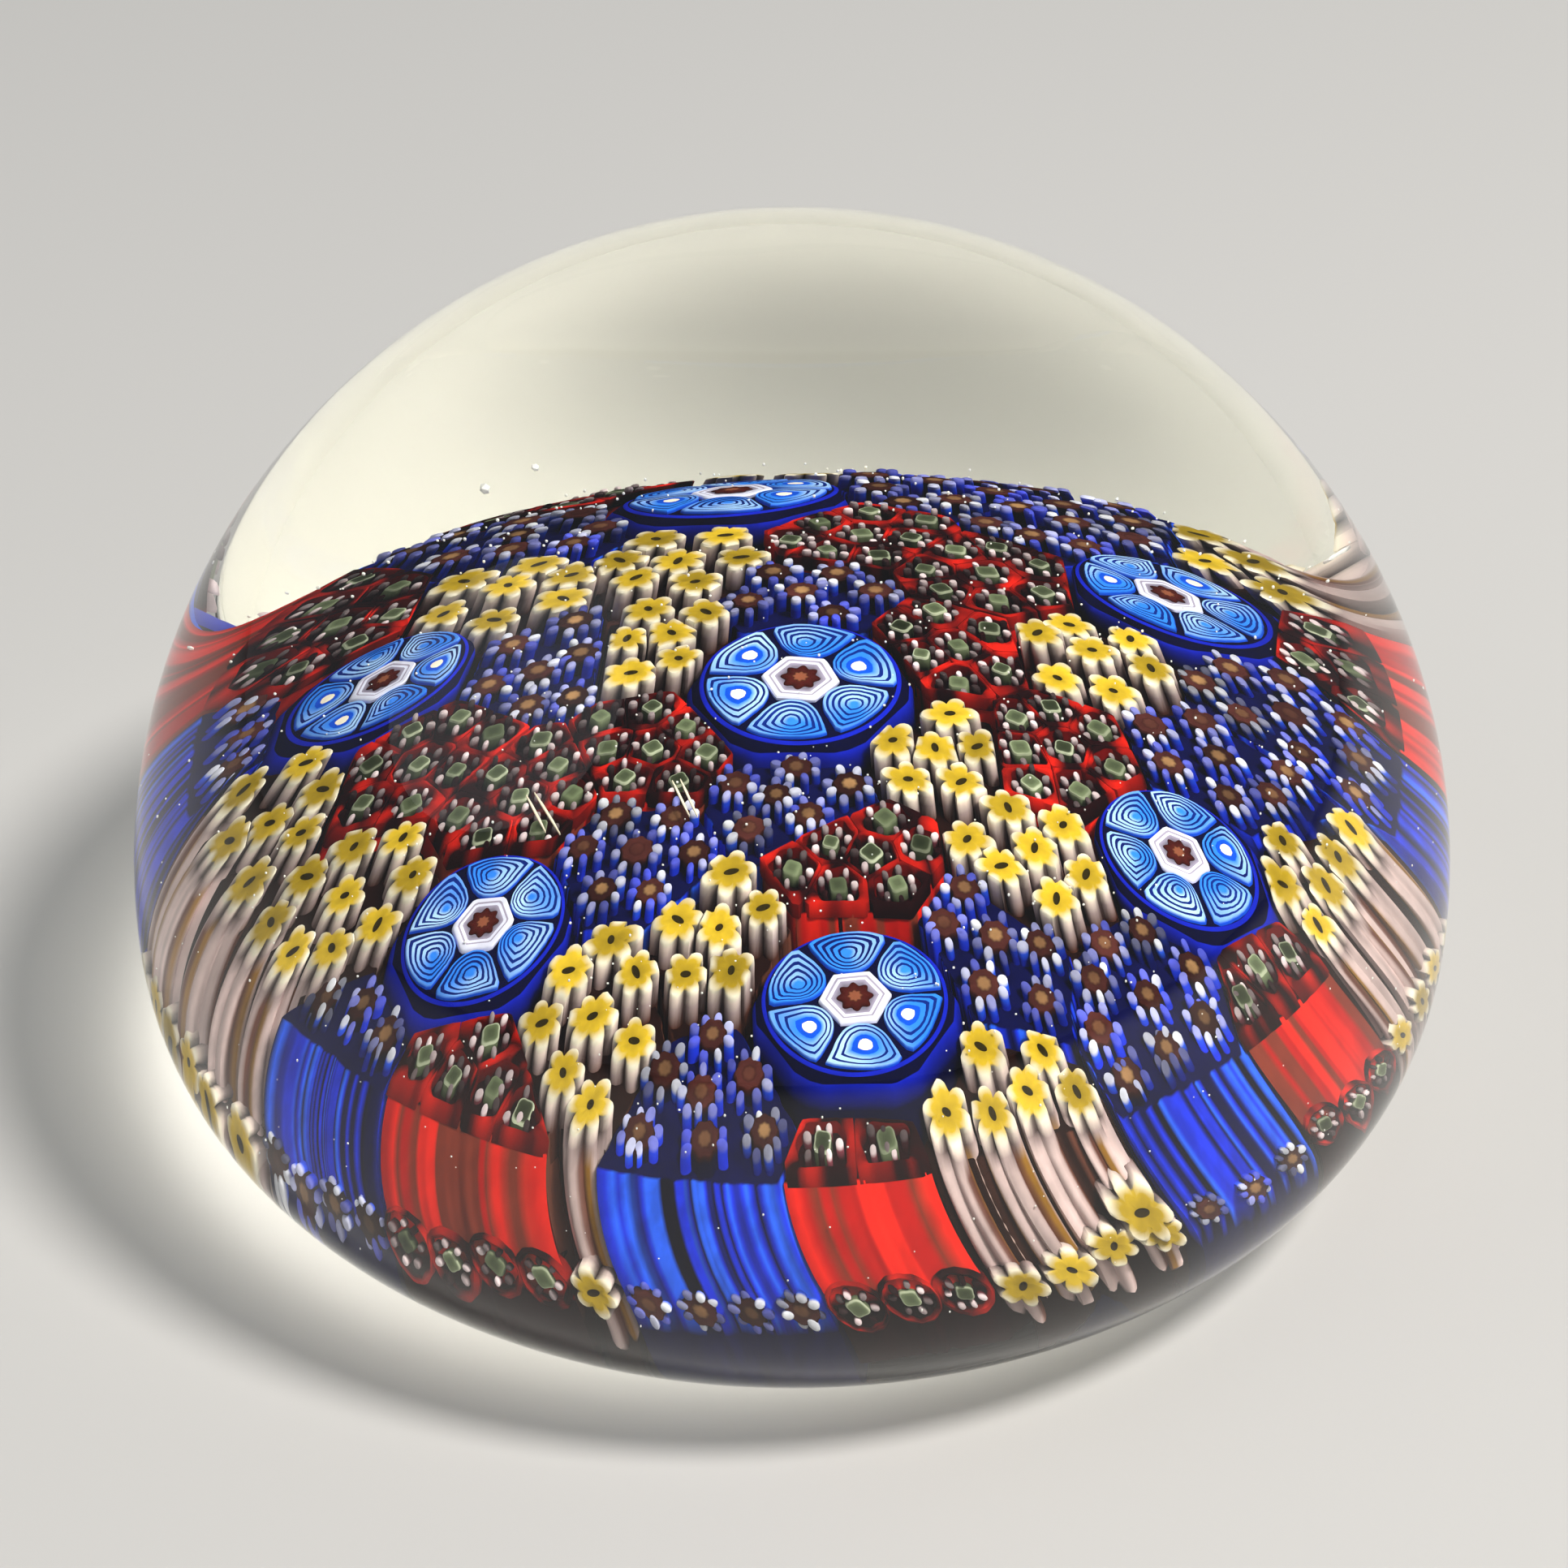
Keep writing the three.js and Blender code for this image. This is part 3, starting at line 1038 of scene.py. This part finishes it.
def seeds():
    rng = random.Random("seeds")
    work = bmesh.new()
    for _ in range(SEEDS_ON_TOP):
        p = cmath.rect(CUSHION_R * math.sqrt(rng.random()), rng.uniform(0, 2 * math.pi))
        add_seed(work, rng, from_top(p, -rng.uniform(0.1, 0.6)), rng.uniform(0.03, 0.075))
    for _ in range(SEEDS_ON_WALL):
        p = cmath.rect(CUSHION_R + rng.uniform(0.15, 0.5), rng.uniform(0, 2 * math.pi))
        add_seed(work, rng, place(p, rng.uniform(0.05, 0.95)), rng.uniform(0.03, 0.07))
    for middle, radius in BUBBLES:
        add_seed(work, rng, [c * MM for c in middle], radius)
    caught_piece("seed_bubbles", work, seed_material())


# Two pairs of painted glints, thin pale gold strips just over the canes that stand in for
# reflections: where each starts and ends on the plan.
GLINT_ENDS = [
    (-13.4 - 5.9j, -12.6 - 8.7j),
    (-13.0 - 5.9j, -11.9 - 9.1j),
    (-6.3 - 7.2j, -5.5 - 9.7j),
    (-5.9 - 7.2j, -5.1 - 9.8j),
]
GLINT_HALF_WIDTH, GLINT_DEPTH = 0.05, 0.09
GLINT_RISE = 0.6  # over the canes


def painted_glints():
    work = bmesh.new()
    for a, b in GLINT_ENDS:
        across = 1j * GLINT_HALF_WIDTH * (b - a) / abs(b - a)
        rings = []
        for share, width in ((0, 0.3), (0.3, 1), (0.7, 1), (1, 0.3)):
            p = a + (b - a) * share
            side = across * width
            section = [(p - side, 0.0), (p + side, 0.0)]
            section += [(p + side, GLINT_DEPTH), (p - side, GLINT_DEPTH)]
            rings.append([work.verts.new(from_top(q, d - GLINT_RISE)) for q, d in section])
        work.faces.new(rings[0])
        work.faces.new(reversed(rings[-1]))
        for low, high in zip(rings, rings[1:]):
            for i in range(4):
                j = (i + 1) % 4
                work.faces.new((low[j], low[i], high[i], high[j]))
    bmesh.ops.recalc_face_normals(work, faces=work.faces)
    # Painted reflection: the strips are coloured bright pale gold so that they read as glints.
    material, _, shader = node_material("painted_glint")
    shader.inputs["Base Color"].default_value = (0.98, 0.86, 0.66, 1)
    shader.inputs["Roughness"].default_value = 0.3
    caught_piece("painted_glints", work, material)


seeds()
painted_glints()


# ---- floor and light ----
FLOOR_HALF = 3.0
FLOOR_DROP = 0.00005  # keeps the floor clear of the ground base
# Azimuth, elevation, distance, size, power and colour.
KEY_LIGHT = (-30, 60, 0.9, 0.18, 8.6, (1.0, 0.97, 0.93))
FILL_LIGHT = (195, 42, 1.2, 0.9, 1.0, (0.94, 0.97, 1.0))
ROOM_COLOUR, ROOM_STRENGTH = (0.86, 0.91, 0.96, 1), 0.3


def make_floor():
    mesh = bpy.data.meshes.new("floor")
    side, low = FLOOR_HALF, -FLOOR_DROP
    corners = [(-side, -side, low), (side, -side, low), (side, side, low), (-side, side, low)]
    mesh.from_pydata(corners, [], [(0, 1, 2, 3)])
    mesh.materials.append(floor_material())
    floor = bpy.data.objects.new("floor", mesh)
    bpy.context.scene.collection.objects.link(floor)


def softbox(name, azimuth, elevation, distance, size, power, colour):
    light = bpy.data.objects.new(name, bpy.data.lights.new(name, "AREA"))
    light.data.shape = "DISK"
    light.data.size = size
    light.data.energy = power
    light.data.color = colour
    a, e = math.radians(azimuth), math.radians(elevation)
    away = Vector((math.cos(a) * math.cos(e), math.sin(a) * math.cos(e), math.sin(e)))
    target = Vector((0, 0, WIDEST_Z * MM))
    light.location = target + away * distance
    light.rotation_mode = "QUATERNION"
    light.rotation_quaternion = away.to_track_quat("Z", "Y")
    bpy.context.scene.collection.objects.link(light)
    return light


def make_light():
    key = softbox("key", *KEY_LIGHT)
    key.visible_glossy = False
    softbox("fill", *FILL_LIGHT)
    world = bpy.data.worlds.new("studio")
    world.use_nodes = True
    background = world.node_tree.nodes["Background"]
    background.inputs["Color"].default_value = ROOM_COLOUR
    background.inputs["Strength"].default_value = ROOM_STRENGTH
    bpy.context.scene.world = world
    bpy.context.scene.view_settings.view_transform = "Standard"


make_floor()
make_light()
